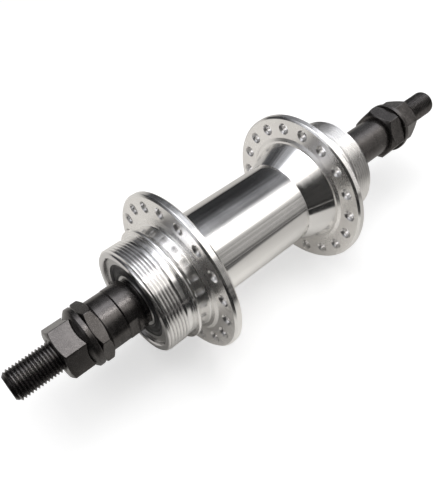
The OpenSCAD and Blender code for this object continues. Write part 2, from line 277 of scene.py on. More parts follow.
def mesh_object(name, columns):
    """Closed mesh of columns of points, each a loop; the first and last column are the same."""
    rows = len(columns[0])
    bm = bmesh.new()
    made = [bm.verts.new(Vector(p) * MM) for column in columns for p in column]
    for j in range(len(columns) - 1):
        here, ahead = j * rows, (j + 1) * rows
        for i in range(rows):
            k = (i + 1) % rows
            bm.faces.new([made[corner] for corner in (here + i, ahead + i, ahead + k, here + k)])
    bmesh.ops.remove_doubles(bm, verts=bm.verts, dist=WELD)
    bmesh.ops.dissolve_degenerate(bm, edges=bm.edges, dist=SLIVER)
    bmesh.ops.recalc_face_normals(bm, faces=bm.faces)
    mesh = bpy.data.meshes.new(name)
    bm.to_mesh(mesh)
    bm.free()
    piece = bpy.data.objects.new(name, mesh)
    bpy.context.scene.collection.objects.link(piece)
    return piece


def turned(name, outline, columns=SMALL_COLUMNS):
    """Solid of revolution round the axle. An outline holds (y, r) points and rows of thread."""
    made = []
    for j in range(columns + 1):
        turns = j / columns
        s, c = math.sin(math.tau * turns), math.cos(math.tau * turns)
        at = [row(turns) if callable(row) else row for row in outline]
        made.append([(r * s, y, r * c) for y, r in at])
    return mesh_object(name, made)


def apply_modifiers(piece):
    """Replaces a piece's mesh with what its modifiers make of it."""
    graph = bpy.context.evaluated_depsgraph_get()
    made = bpy.data.meshes.new_from_object(piece.evaluated_get(graph), depsgraph=graph)
    piece.modifiers.clear()
    piece.data = made


def finish(piece, node):
    """Shades a piece and makes it stand for its CAD node: its body, its slot and its material."""
    mesh = piece.data
    mesh.shade_smooth()
    mesh.set_sharp_from_angle(angle=SHARP)
    weighted = piece.modifiers.new("even_normals", "WEIGHTED_NORMAL")
    weighted.mode = "FACE_AREA"
    weighted.weight = AREA_WEIGHT
    weighted.keep_sharp = True
    apply_modifiers(piece)
    record = frame["record"]
    slot = next(part["material_slot"] for part in record["subparts"] if part["node"] == node)
    coat(piece.data, slot)
    bodies = record["behaviour"]["bodies"]
    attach(piece, next(body for body, members in bodies.items() if node in members))
    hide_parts(node)


def coat(mesh, slot):
    """Gives a mesh the one material of its slot."""
    mesh.materials.clear()
    mesh.materials.append(FINISHES[slot])


# Materials


class Nodes:
    """Short way to build a shader's node tree."""

    def __init__(self, tree):
        self.tree = tree
        tree.nodes.clear()

    def add(self, kind, inputs=(), **settings):
        node = self.tree.nodes.new(kind)
        for key, value in settings.items():
            setattr(node, key, value)
        for key, value in dict(inputs).items():
            self.feed(node.inputs[key], value)
        return node

    def feed(self, socket, value):
        """Links a socket to another one, or sets its constant."""
        if isinstance(value, bpy.types.NodeSocket):
            self.tree.links.new(value, socket)
        else:
            socket.default_value = value

    def math(self, operation, a, b=0.0):
        return self.add("ShaderNodeMath", {0: a, 1: b}, operation=operation).outputs[0]

    def plus(self, total, *others):
        for other in others:
            total = self.math("ADD", total, other)
        return total

    def minus(self, a, b):
        return self.math("SUBTRACT", a, b)

    def times(self, product, *others):
        for other in others:
            product = self.math("MULTIPLY", product, other)
        return product

    def split(self, vector):
        return self.add("ShaderNodeSeparateXYZ", {0: vector}).outputs[:3]

    def between(self, value, low, high, to_low=0.0, to_high=1.0):
        """Smooth step of value from low to high, where low may be the larger."""
        ends = {"From Min": low, "From Max": high, "To Min": to_low, "To Max": to_high}
        inputs = {"Value": value, **ends}
        return self.add("ShaderNodeMapRange", inputs, interpolation_type="SMOOTHSTEP").outputs[0]

    def past(self, distance, limits, to_low=0.0, to_high=1.0):
        """Smooth step of a distance between two limits in millimetres."""
        return self.between(distance, limits[0] * MM, limits[1] * MM, to_low, to_high)

    def window(self, value, rise, fall):
        """One inside a range, with a smooth rise in front of it and a smooth fall behind it."""
        return self.times(self.between(value, *rise), self.between(value, fall[1], fall[0]))

    def steps(self, value, table):
        """Sum of smooth steps of a value, each (from, to, level before, level after)."""
        return self.plus(*(self.between(value, *step) for step in table))

    def noise(self, vector, scale, detail=2.0, rough=0.5):
        inputs = {"Vector": vector, "Scale": scale, "Detail": detail, "Roughness": rough}
        return self.add("ShaderNodeTexNoise", inputs).outputs["Fac"]

    def bump(self, height, strength, depth):
        """Normal of a bump whose depth is in millimetres."""
        inputs = {"Strength": strength, "Distance": depth * MM, "Height": height}
        return self.add("ShaderNodeBump", inputs).outputs[0]

    def mix_value(self, share, a, b):
        return self.add("ShaderNodeMix", {0: share, 2: a, 3: b}, data_type="FLOAT").outputs[0]

    def mix(self, share, a, b):
        """Mix of two colours, each a socket or three numbers."""
        node = self.add("ShaderNodeMix", {"Factor": share}, data_type="RGBA")
        for key, value in ((6, a), (7, b)):
            self.feed(node.inputs[key], (*value, 1.0) if isinstance(value, tuple) else value)
        return node.outputs[2]

    def diffuse(self, colour):
        return self.add("ShaderNodeBsdfDiffuse", {"Color": colour}).outputs[0]

    def emission(self, colour, strength):
        inputs = {"Color": (*colour, 1.0), "Strength": strength}
        return self.add("ShaderNodeEmission", inputs).outputs[0]

    def add_shaders(self, a, b):
        return self.add("ShaderNodeAddShader", {0: a, 1: b}).outputs[0]

    def mix_shaders(self, share, a, b):
        return self.add("ShaderNodeMixShader", {0: share, 1: a, 2: b}).outputs[0]


def new_material(name):
    """Empty material, its nodes, and its object's coordinates."""
    material = bpy.data.materials.new(name)
    material.use_nodes = True
    nodes = Nodes(material.node_tree)
    return material, nodes, nodes.add("ShaderNodeTexCoord").outputs["Object"]


def surface(build, fixed):
    """Material with a Principled shader: fixed holds its constants, and build gives its links."""
    material, nodes, place = new_material(build.__name__)
    shader = nodes.add("ShaderNodeBsdfPrincipled", {**fixed, **build(nodes, place)})
    nodes.add("ShaderNodeOutputMaterial", {"Surface": shader.outputs[0]})
    return material


def round_axle(nodes, place):
    """Distances from the axle and along it, and both as coordinates that don't change round it."""
    x, along, z = nodes.split(place)
    away = nodes.math("SQRT", nodes.plus(nodes.times(x, x), nodes.times(z, z)))
    return away, along, nodes.add("ShaderNodeCombineXYZ", {0: away, 1: along}).outputs[0]


# Where the shell's finish changes, away from the axle or along it
FACE_FROM = (17.6, 18.0)
HOLES_FROM = (20.5, 20.9)
HOLES_TO = (25.8, 25.4)
LEFT_THREAD_FROM = (-45.5, -46.0)
RIGHT_THREAD_FROM = (26.5, 27.0)
GROOVE_BELOW = (17.2, 16.8)
BARREL_TO = (14.6, 15.2)
FAR_BOSS_FROM = (24.5, 26.5)

ALLOY = ((0.87, 0.865, 0.86), (0.915, 0.91, 0.90))
ALLOY_FACE = (0.90, 0.885, 0.87)
# Painted shade: darker colours for the spoke holes' walls and the boss threads' roots
HOLE_SHADE = (0.74, 0.73, 0.72)
GROOVE_SHADE = (0.66, 0.65, 0.65)


def polished_aluminium(nodes, place):
    """Polished alloy: finest on the barrel, satin on the flange faces, rougher in the holes, with
    painted shade darkening the spoke holes' walls and the thread roots.

    Turning and polishing leave fine lines round the axle, which spread a reflection across them.
    """
    away, along, rings = round_axle(nodes, place)
    normal = nodes.add("ShaderNodeTexCoord").outputs["Normal"]
    facing = nodes.math("ABSOLUTE", nodes.split(normal)[1])
    face = nodes.times(nodes.past(away, FACE_FROM), nodes.between(facing, 0.6, 0.9))
    drilled = nodes.times(nodes.past(away, HOLES_FROM), nodes.past(away, HOLES_TO))
    hole = nodes.times(drilled, nodes.between(facing, 0.9, 0.8))
    threaded = nodes.plus(nodes.past(along, LEFT_THREAD_FROM), nodes.past(along, RIGHT_THREAD_FROM))
    groove = nodes.times(threaded, nodes.past(away, GROOVE_BELOW))

    lines = nodes.noise(rings, scale=5200.0, detail=3.0, rough=0.6)
    cloud = nodes.noise(place, scale=90.0, detail=3.0)
    grain = nodes.noise(place, scale=2600.0, detail=3.0, rough=0.6)
    stretched = nodes.add("ShaderNodeMapping", {"Vector": place, "Scale": (1.0, 0.06, 1.0)})
    hair = nodes.noise(stretched.outputs[0], scale=1500.0, detail=2.0)

    tint = nodes.mix(nodes.between(cloud, 0.3, 0.7), *ALLOY)
    # The hole and groove colours paint shade into those recesses
    for where, colour in ((face, ALLOY_FACE), (hole, HOLE_SHADE), (groove, GROOVE_SHADE)):
        tint = nodes.mix(where, tint, colour)

    polish = nodes.between(cloud, 0.3, 0.75, to_low=0.14, to_high=0.18)
    line_marks = nodes.between(lines, 0.35, 0.7, to_high=0.05)
    hair_marks = nodes.between(hair, 0.62, 0.75, to_high=0.05)
    satin = nodes.between(nodes.plus(cloud, grain), 0.6, 1.4, to_low=0.08, to_high=0.20)
    drill_marks = nodes.times(hole, 0.14)
    rough = nodes.plus(polish, line_marks, hair_marks, nodes.times(face, satin), drill_marks)
    rough = nodes.times(rough, nodes.past(away, BARREL_TO, to_low=0.6, to_high=0.95))
    rough = nodes.plus(rough, nodes.past(along, FAR_BOSS_FROM, to_high=0.12))

    height = nodes.plus(lines, nodes.times(grain, face, 1.3))
    tangent = nodes.add("ShaderNodeTangent", direction_type="RADIAL", axis="Y").outputs[0]
    return {
        "Base Color": tint,
        "Roughness": rough,
        "Normal": nodes.bump(height, strength=0.06, depth=0.02),
        "Tangent": tangent,
    }


OXIDE = ((0.078, 0.073, 0.071), (0.118, 0.111, 0.1075))
ROOT_SHADE = (0.035, 0.033, 0.032)
OXIDE_CREST = (0.17, 0.162, 0.158)
# Distances from the axle between which its thread's crests and roots change colour; the darker
# roots are painted shade
CREST_FROM = (4.6, 4.73)
CREST_TO = (4.82, 4.78)
ROOT_BELOW = (4.4, 4.2)


def black_steel(nodes, place):
    """Black-oxide steel: dark, oiled and finely grained, worn on the thread's crests, with painted
    shade in the thread's roots.
    """
    grain = nodes.noise(place, scale=3800.0, detail=3.0, rough=0.65)
    patches = nodes.noise(place, scale=260.0, detail=4.0, rough=0.6)
    away, _, round_it = round_axle(nodes, place)
    rings = nodes.noise(round_it, scale=3000.0, detail=2.0)
    crest = nodes.times(nodes.past(away, CREST_FROM), nodes.past(away, CREST_TO))
    tint = nodes.mix(nodes.between(patches, 0.35, 0.75), *OXIDE)
    # Painted shade: darker colour at the thread's roots
    tint = nodes.mix(nodes.past(away, ROOT_BELOW), tint, ROOT_SHADE)
    tint = nodes.mix(crest, tint, OXIDE_CREST)
    fine = nodes.between(grain, 0.3, 0.7, to_low=0.21, to_high=0.29)
    dry = nodes.between(patches, 0.4, 0.8, to_high=0.10)
    height = nodes.plus(grain, nodes.times(rings, 0.6))
    return {
        "Base Color": tint,
        "Roughness": nodes.plus(fine, dry),
        "Normal": nodes.bump(height, strength=0.25, depth=0.03),
    }


STEEL = ((0.34, 0.335, 0.33), (0.40, 0.395, 0.39))


def ground_steel(nodes, place):
    """Ground bearing steel with fine lines round the axle."""
    lines = nodes.noise(round_axle(nodes, place)[2], scale=6000.0, detail=2.0)
    return {
        "Base Color": nodes.mix(nodes.noise(place, scale=300.0), *STEEL),
        "Roughness": nodes.between(lines, 0.3, 0.7, to_low=0.2, to_high=0.3),
        "Normal": nodes.bump(lines, strength=0.08, depth=0.02),
    }


CAGE = ((0.45, 0.43, 0.38), (0.60, 0.57, 0.52))


def cage_steel(nodes, place):
    """Pressed sheet steel of the ball cages."""
    cloud = nodes.noise(place, scale=700.0, detail=3.0)
    return {
        "Base Color": nodes.mix(cloud, *CAGE),
        "Roughness": nodes.between(cloud, 0.3, 0.7, to_low=0.28, to_high=0.42),
    }


RUBBER = ((0.012, 0.012, 0.013), (0.022, 0.022, 0.024))
# Width of a moulded rib on a seal
SEAL_RIB = 1.5


def seal_rubber(nodes, place):
    """Moulded black nitrile rubber with a matt bloom and ribs round the axle."""
    bloom = nodes.noise(place, scale=420.0, detail=3.0)
    grain = nodes.noise(place, scale=5200.0, detail=2.0)
    ribs = nodes.math("SINE", nodes.times(round_axle(nodes, place)[0], math.tau / (SEAL_RIB * MM)))
    height = nodes.plus(nodes.times(ribs, 2.0), grain)
    return {
        "Base Color": nodes.mix(nodes.between(bloom, 0.35, 0.7), *RUBBER),
        "Roughness": nodes.between(bloom, 0.3, 0.7, to_low=0.42, to_high=0.58),
        "Normal": nodes.bump(height, strength=0.6, depth=0.06),
    }


# Hub shell


def shell_end(face, end, side):
    """Outline of one flange, its neck and its shoulder, from the flange's inner face outwards."""
    z = outwards(face, side)
    rim = radius_of("hub_shell")
    ring_z = FLANGE_T + ROOT_RING_H
    shoulder_z = abs(end - face) - BOSS_THREAD_L - RUNOUT_L
    cove_z = shoulder_z - SHOULDER_W - COVE_R
    cove = arc(z(cove_z), SHOULDER_R, COVE_R, 270, 270 + 90 * side)
    return rounded(
        [
            (z(0), rim - 2 * FLANGE_EDGE),
            (z(0), rim - FLANGE_EDGE, EDGE_FILLET),
            (z(FLANGE_EDGE), rim, RIM_FILLET),
            (z(FLANGE_T - FLANGE_EDGE), rim, RIM_FILLET),
            (z(FLANGE_T), rim - FLANGE_EDGE, EDGE_FILLET),
            (z(FLANGE_T), ROOT_RING_R, RING_FILLET),
            (z(ring_z), ROOT_RING_R - ROOT_RING_BEVEL, RING_FILLET),
            (z(ring_z), NECK_R, NECK_FILLET),
            (z(cove_z - COVE_LEAD), NECK_R),
            *cove[:-1],
            (z(cove_z + COVE_R), SHOULDER_R, SHOULDER_FILLET),
            (z(shoulder_z), SHOULDER_R, SHOULDER_FILLET),
            (z(shoulder_z), RUNOUT_R, EDGE_FILLET),
            (z(shoulder_z + RUNOUT_L), RUNOUT_R),
        ]
    )


def boss_thread(end, side):
    """Rows of the boss's thread, which starts at its chamfered end and fades into the run-out."""
    start = end - side * BOSS_THREAD_L

    def limit(y):
        return BOSS_CREST_R - BOSS_CHAMFER + abs(end - y)

    low, high = min(start, end), max(start, end)
    return thread(low, high, BOSS_PITCH, BOSS_CREST_R, limit, RUNOUT_R, BOSS_FADE, -side)


def spoke_hole_cutter(name, face, side, turn):
    """All the countersunk holes of one flange as one cutting mesh."""
    sink_h = SINK_R - HOLE_R
    wide = SINK_R + CUT_PAST
    walls = [
        (-CUT_PAST, wide),
        (sink_h, HOLE_R, SINK_FILLET),
        (FLANGE_T - sink_h, HOLE_R, SINK_FILLET),
        (FLANGE_T + CUT_PAST, wide),
    ]
    outline = [(-CUT_PAST, 0.0), *rounded(walls, FINE_STEPS), (FLANGE_T + CUT_PAST, 0.0)]
    one = turned(name, outline, HOLE_COLUMNS)
    whole = bmesh.new()
    for i in range(HOLES):
        angle = math.radians(turn + i * 360 / HOLES)
        x, z = math.cos(angle) * HOLE_CIRCLE_R, math.sin(angle) * HOLE_CIRCLE_R
        spot = Matrix.Translation(Vector((x, face, z)) * MM)
        copy = one.data.copy()
        copy.transform(spot @ Matrix.Diagonal((1, side, 1, 1)))
        whole.from_mesh(copy)
        bpy.data.meshes.remove(copy)
    bmesh.ops.recalc_face_normals(whole, faces=whole.faces)
    whole.to_mesh(one.data)
    whole.free()
    return one


def cut(piece, cutter):
    """Cuts a cutter's shape out of a piece, and deletes the cutter."""
    difference = piece.modifiers.new("cut", "BOOLEAN")
    difference.operation = "DIFFERENCE"
    difference.solver = "EXACT"
    difference.object = cutter
    apply_modifiers(piece)
    bpy.data.objects.remove(cutter)


def hub_shell():
    """Turned shell with its threads, cut by its spoke holes."""
    left_end = station("hub_shell", -1, 1)
    right_end = station("hub_shell", 1, 1)
    left = left_end + BOSS_L["left"] + FLANGE_T
    right = right_end - BOSS_L["right"] - FLANGE_T
    seat_left = station("left_bearing_outer_ring", -1, 0)
    seat_right = station("right_bearing_outer_ring", 1, 0)
    root = BARREL_R + BARREL_COVE
    drum_top = right - ROOT_RING_H
    middle = [
        (left, root + FACE_LEAD),
        *arc(left + BARREL_COVE, root, BARREL_COVE, 180, 270),
        (drum_top - DRUM_L - DRUM_LEAD, BARREL_R),
        (drum_top - DRUM_L, BARREL_R, DRUM_FILLET),
        (drum_top, DRUM_R),
        (drum_top, ROOT_RING_R - ROOT_RING_BEVEL, RING_FILLET),
        (right, ROOT_RING_R, RING_FILLET),
        (right, ROOT_RING_R + FACE_LEAD),
    ]
    bore = [
        (right_end, SEAT_R + SEAT_MOUTH),
        (right_end - SEAT_MOUTH, SEAT_R),
        (seat_right, SEAT_R),
        (seat_right, HOLLOW_R),
        (seat_left, HOLLOW_R),
        (seat_left, SEAT_R),
        (left_end + SEAT_MOUTH, SEAT_R),
        (left_end, SEAT_R + SEAT_MOUTH),
    ]
    outline = [
        *boss_thread(left_end, -1),
        *reversed(shell_end(left, left_end, -1)),
        *rounded(middle),
        *shell_end(right, right_end, 1),
        *boss_thread(right_end, 1),
        *bore,
    ]
    shell = turned("hub_shell_turned", outline, SHELL_COLUMNS)
    cut(shell, spoke_hole_cutter("left_holes", left, -1, LEFT_HOLE_TURN))
    cut(shell, spoke_hole_cutter("right_holes", right, 1, LEFT_HOLE_TURN - 180 / HOLES))
    finish(shell, "hub_shell")


# Axle and hardware


def axle_thread(low, high, tip, fade_end):
    """Rows of the thread between a chamfered tip and the bearing's journal."""

    def limit(y):
        return AXLE_CREST_R - TIP_CHAMFER + abs(tip - y)

    return thread(low, high, AXLE_PITCH, AXLE_CREST_R, limit, AXLE_CREST_R, AXLE_FADE, fade_end)


def axle():
    """Axle with rolled threads from its chamfered tips to the bearings."""
    left_tip, right_tip = station("axle", -1, 1), station("axle", 1, 1)
    seat_left = station("left_bearing_inner_ring", -1, 0)
    seat_right = station("right_bearing_inner_ring", 1, 0)
    journal_left = station("left_bearing_inner_ring", -1, 1) + JOURNAL_SHORT
    journal_right = station("right_bearing_inner_ring", 1, 1) - JOURNAL_SHORT
    outline = [
        (left_tip + CENTRE_R, 0.0),
        (left_tip, CENTRE_R),
        *axle_thread(left_tip, journal_left, left_tip, 1),
        (journal_left, JOURNAL_R),
        (seat_left, JOURNAL_R),
        (seat_left, AXLE_BODY_R),
        (seat_right, AXLE_BODY_R),
        (seat_right, JOURNAL_R),
        (journal_right, JOURNAL_R),
        *axle_thread(journal_right, right_tip, right_tip, -1),
        (right_tip, CENTRE_R),
        (right_tip - CENTRE_R, 0.0),
    ]
    finish(turned("axle_threaded", outline, AXLE_COLUMNS), "axle")


def spacer(end):
    """Plain tube with rounded rims."""
    node = end + "_spacer"
    low, high = sorted(station(node, SIDES[end], i) for i in (0, 1))
    r = radius_of(node)
    bore = AXLE_CREST_R + SPACER_ROOM
    loop = [(low, bore), (low, r, SPACER_FILLET), (high, r, SPACER_FILLET), (high, bore)]
    finish(turned(node + "_turned", rounded(loop, FINE_STEPS)), node)


def washer(end):
    """Washer with a bevelled rim and a conical seat for the nut."""
    node = end + "_washer"
    z = outwards(station(node, SIDES[end], 0), SIDES[end])
    r = radius_of(node)
    bore = AXLE_CREST_R + NUT_ROOM
    seat_z = WASHER_RIM_H + WASHER_BEVEL_H
    loop = [
        (z(0), bore),
        (z(0), r, WASHER_FACE_FILLET),
        (z(WASHER_RIM_H), r, WASHER_RIM_FILLET),
        (z(seat_z), WASHER_SEAT_R, WASHER_SEAT_FILLET),
        (z(seat_z + (WASHER_SEAT_R - bore) * SEAT_SLOPE), bore),
    ]
    finish(turned(node + "_turned", rounded(loop, FINE_STEPS)), node)


def cone(end):
    """Bearing cone with its two wrench flats."""
    node, side = end + "_cone", SIDES[end]
    face = station(node, side, 0)
    length = abs(station(node, side, 1) - face)
    z = outwards(face, side)
    # The left cone's flats leave its full radius in its height, and both cones share it
    r = radius_of("left_cone")
    bore = AXLE_CREST_R + THREAD_ROOM
    body = rounded(
        [
            (0.0, bore),
            (0.0, CONE_NOSE_R, CONE_NOSE_FILLET),
            (CONE_NOSE_H, CONE_NOSE_R),
            (CONE_NOSE_H + CONE_TAPER, r, CONE_FILLET),
            (length - CONE_FLATS_L, r),
        ]
    )
    made = []
    for j in range(SMALL_COLUMNS + 1):
        angle = math.tau * j / SMALL_COLUMNS
        s, c = math.sin(angle), math.cos(angle)
        # Angle from the normal of the nearer flat
        off = abs((math.degrees(angle) - CONE_TURN[end] + 90) % 180 - 90)
        flat = min(r, CONE_FLATS / 2 / max(math.cos(math.radians(off)), LEAST_COS))
        rim = [(length - below, flat - deep) for below, deep in CONE_RIM]
        made.append([(q * s, z(d), q * c) for d, q in [*body, *rim, (length, bore)]])
    finish(mesh_object(node + "_turned", made), node)


def way(angle):
    """Direction at an angle from +Z towards +X, as (x, z)."""
    return Vector((math.sin(angle), math.cos(angle)))


def hexagon(flats, turn):
    """Closed outline of a hexagon with rounded corners, as (x, z)."""
    reach = (flats / 2 - HEX_CORNER_R) / COS_30
    out = []
    for k in range(6):
        middle = math.radians(turn + 60 * k)
        for i in range(CORNER_STEPS + 1):
            a = middle + math.radians(-30 + 60 * i / CORNER_STEPS)
            out.append(way(middle) * reach + way(a) * HEX_CORNER_R)
        ahead = way(math.radians(turn + 60 * (k + 1))) * reach
        start, end = out[-1], ahead + way(middle + math.radians(30)) * HEX_CORNER_R
        out += [start.lerp(end, i / FLAT_STEPS) for i in range(1, FLAT_STEPS)]
    out.append(out[0])
    return out


def hex_piece(name, points, column):
    """Mesh of a hexagonal piece: column(r) gives the loop of (y, r) where it is r wide."""
    made = []
    for p in points:
        x, z = p.normalized()
        made.append([(x * r, y, z * r) for y, r in column(p.length)])
    return mesh_object(name, made)


def hex_chamfer(flats, corner_cut):
    """Radius of a hexagonal end face, and the slope that takes corner_cut off the corners."""
    face_r = flats / 2 - FACE_INSET
    return face_r, corner_cut / (flats / 2 / COS_30 - face_r)


def chamfered(z, r, face_r, steep):
    """Outer end of a hexagonal piece: from its flat at radius r to its end face at z."""
    rise = max(0.0, r - face_r) * steep
    lean = math.hypot(1, steep)
    return [
        (z - rise - HEX_EDGE, r),
        (z - rise + HEX_EDGE * steep / lean, r - HEX_EDGE / lean),
        (z, min(face_r, r - HEX_EDGE)),
    ]


def locknut(end):
    """Thin hexagonal nut, chamfered on both faces."""
    node, side = end + "_locknut", SIDES[end]
    face = station(node, side, 0)
    half_h = abs(station(node, side, 1) - face) / 2
    z = outwards(face, side)
    bore = AXLE_CREST_R + THREAD_ROOM
    face_r, steep = hex_chamfer(LOCKNUT_FLATS, LOCKNUT_CUT[end])

    def column(r):
        mouth = [(half_h, bore + LOCKNUT_MOUTH), (half_h - LOCKNUT_MOUTH, bore)]
        half = [*chamfered(half_h, r, face_r, steep), *mouth]
        loop = [*[(-d, q) for d, q in reversed(half)], *half]
        return [(z(half_h + d), q) for d, q in loop]

    finish(hex_piece(node + "_milled", hexagon(LOCKNUT_FLATS, LOCKNUT_TURN[end]), column), node)


def axle_nut(end):
    """Hexagonal nut whose hollow end fits over its washer's cone."""
    node, side = end + "_axle_nut", SIDES[end]
    face = station(end + "_washer", side, 0)
    height = abs(station(node, side, 1) - face)
    z = outwards(face, side)
    bore = AXLE_CREST_R + NUT_ROOM
    face_r, steep = hex_chamfer(NUT_FLATS, NUT_CUT)
    skirt_h, skirt_w = NUT_SKIRT

    def hollow(r):
        return WASHER_RIM_H + WASHER_BEVEL_H + SEAT_GAP + (WASHER_SEAT_R - r) * SEAT_SLOPE

    def column(r):
        loop = [
            (hollow(bore), bore),
            (hollow(r - skirt_w), r - skirt_w),
            (hollow(r) + skirt_h, r),
            *chamfered(height, r, face_r, steep),
            (height, bore + NUT_MOUTH),
            (height - NUT_MOUTH, bore),
        ]
        return [(z(d), q) for d, q in loop]

    finish(hex_piece(node + "_milled", hexagon(NUT_FLATS, NUT_TURN[end]), column), node)


# Studio, in metres

FLOOR_HALF = 2.0
# The table ends in front of the hub, on a line across the camera's view
EDGE_SLANT = 0.91
EDGE_FROM, EDGE_TO = 0.10, 0.14
# Painted shade: the paper darkens from the first colour to the second along +y, dimming the
# reflections towards the hub's right end
PAPER_LIT_AND_SHADED = ((0.80, 0.78, 0.745), (0.60, 0.58, 0.555))
PAPER_SHADE_Y = (-0.02, 0.05)
BEYOND = ((0.03, 0.03, 0.03), (0.17, 0.165, 0.16))
BEYOND_Y = (0.05, 0.10)
# Painted light: the paper glows a little where the hub shades it, lifting that shadow
SHADOW_GLOW_TINT = (1.0, 0.98, 0.94)
SHADOW_GLOW = 0.15
UNDER_X = (0.05, 0.02)
UNDER_Y = (-0.052, -0.04)
# What the camera sees is a white that takes a shadow, and plain white farther out
WHITE = (1.0, 1.0, 1.0)
SHADED_WHITE = (0.62, 0.62, 0.62, 1.0)
LIFT = 0.58
PLAIN_FROM, PLAIN_TO = 0.16, 0.32


def paper(nodes, x, y):
    """What lights and metal see of the floor: a paper on a table, and the dim room beyond it. The
    paper carries painted shade that darkens it along +y, and painted light that glows under the
    hub.
    """
    across = nodes.minus(x, nodes.times(y, EDGE_SLANT))
    # Painted shade: the paper is darker along +y
    tint = nodes.mix(nodes.between(y, *PAPER_SHADE_Y), *PAPER_LIT_AND_SHADED)
    beyond = nodes.mix(nodes.between(y, *BEYOND_Y), *BEYOND)
    table = nodes.mix(nodes.between(across, EDGE_FROM, EDGE_TO), tint, beyond)
    under = nodes.between(nodes.math("ABSOLUTE", x), *UNDER_X)
    under = nodes.times(under, nodes.between(y, *UNDER_Y))
    # Painted light: an emission under the hub lifts the hub's shadow on the paper
    shadow_glow = nodes.emission(SHADOW_GLOW_TINT, nodes.times(under, SHADOW_GLOW))
    return nodes.add_shaders(nodes.diffuse(table), shadow_glow)


def floor():
    """Pale floor that stays white to the camera and keeps the hub's shadow."""
    material, nodes, place = new_material("floor")
    x, y, _ = nodes.split(place)
    near = nodes.add_shaders(nodes.diffuse(SHADED_WHITE), nodes.emission(WHITE, LIFT))
    distance = nodes.add("ShaderNodeVectorMath", {0: place}, operation="LENGTH").outputs["Value"]
    share = nodes.between(distance, PLAIN_FROM, PLAIN_TO)
    seen = nodes.mix_shaders(share, near, nodes.emission(WHITE, 1.0))
    camera_ray = nodes.add("ShaderNodeLightPath").outputs["Is Camera Ray"]
    shader = nodes.mix_shaders(camera_ray, paper(nodes, x, y), seen)
    nodes.add("ShaderNodeOutputMaterial", {"Surface": shader})

    z = cad_box[0].z
    corners = [(i * FLOOR_HALF, j * FLOOR_HALF, z) for i, j in ((-1, -1), (1, -1), (1, 1), (-1, 1))]
    mesh = bpy.data.meshes.new("floor")
    mesh.from_pydata(corners, [], [(0, 1, 2, 3)])
    mesh.materials.append(material)
    piece = bpy.data.objects.new("floor", mesh)
    bpy.context.scene.collection.objects.link(piece)


# The studio is laid out by a direction's part along the axle, y, and by its angle round
# the axle from +X over the top, in degrees. Its steps are (from, to, level before, level after)

# A band across the room is darker on the left and paler on the right
BAND = ((0.35, 0.42), (0.62, 0.68))
# Angles of the overhead panel's edges along y, and how each edge fades
PANEL_RIGHT = ((0.25, -0.15, 46.0, 74.0), (0.58, 0.68, 0.0, 20.0), (-0.18, -0.28, 0.0, -19.0))
PANEL_LEFT = (0.35, 0.15, 114.0, 119.0)
BAND_SHIFT = -29.0
RIGHT_FADE = (-3.0, 5.0)
SOFTER_BY = (-9.0, 4.0)
SOFTER = ((-0.28, -0.18), (0.0, 0.2))
LEFT_FADE = (12.0, -6.0)
# The lamps behind the panel are over the hub's left end, and stop where the room ends
LAMPS = ((0.26, 0.10, 1.12, 2.4), (0.66, 0.72, 0.0, 0.7), (0.50, 0.60, 0.0, -0.3))
LAMPS_END = (-0.62, -0.45)
LAMPS_DIM = (-0.3, -0.15, 0.5, 1.0)
# A narrow brighter tube among them gives the steel its bright lines
TUBE_ANGLE = ((73.0, 78.0), (83.0, 89.0))
TUBE_Y = ((0.17, 0.21), (0.235, 0.27))
TUBE = 18.0
# A part of the left wall is brighter, and so is a pale thing beyond the right end
BRIGHT_WALL = ((0.05, 0.10), (0.28, 0.33))
BRIGHTER_BY = 0.6
PALE = ((0.65, 0.68), (0.70, 0.73))
PALE_LEVEL = 1.7
RIGHT_BAND = 0.30
# Streaks run along the axle, this many degrees to a unit of y
STREAK_L = 6.0
# Angles where the right wall gives way to the left one, and its warmth to the left's cool
WALLS_MEET = (80.0, 88.0)
TINTS_MEET = (60.0, 110.0)
WARM, COOL = (1.03, 1.0, 0.965), (0.975, 0.985, 1.03)


def overhead(nodes, y, angle, band):
    """Level of the broad soft panel overhead and the lamps behind it."""
    right_edge = nodes.steps(y, PANEL_RIGHT)
    left_edge = nodes.plus(nodes.between(y, *PANEL_LEFT), nodes.times(band, BAND_SHIFT))
    soft = nodes.window(y, *SOFTER)
    fade = [nodes.plus(at, nodes.times(soft, more)) for at, more in zip(RIGHT_FADE, SOFTER_BY)]
    panel = nodes.times(
        nodes.between(nodes.minus(angle, right_edge), *fade),
        nodes.between(nodes.minus(angle, left_edge), *LEFT_FADE),
    )
    glow = nodes.times(nodes.steps(y, LAMPS), nodes.between(y, *LAMPS_END))
    glow = nodes.times(glow, nodes.between(y, *LAMPS_DIM))
    tube = nodes.times(nodes.window(angle, *TUBE_ANGLE), nodes.window(y, *TUBE_Y), TUBE)
    return nodes.times(panel, nodes.plus(glow, tube))


def left_wall(nodes, y, angle, band, streaks, fine):
    """Level of the darker room on the left."""
    floor_level = nodes.between(y, 0.2, 0.3, to_low=0.05, to_high=0.13)
    plain = nodes.between(angle, 162.0, 112.0, floor_level, 0.7)
    banded = nodes.between(angle, 146.0, 108.0, to_low=0.03, to_high=0.17)
    wall = nodes.mix_value(band, plain, banded)
    wall = nodes.times(wall, nodes.between(fine, 0.35, 0.7, to_low=0.75, to_high=1.35))
    brighter = nodes.times(nodes.window(y, *BRIGHT_WALL), BRIGHTER_BY)
    wall = nodes.times(wall, nodes.plus(1.0, brighter))
    wall = nodes.times(wall, nodes.between(streaks, 0.3, 0.75, to_low=0.5, to_high=1.5))
    return nodes.plus(wall, nodes.between(y, 0.56, 0.64, to_high=0.2))


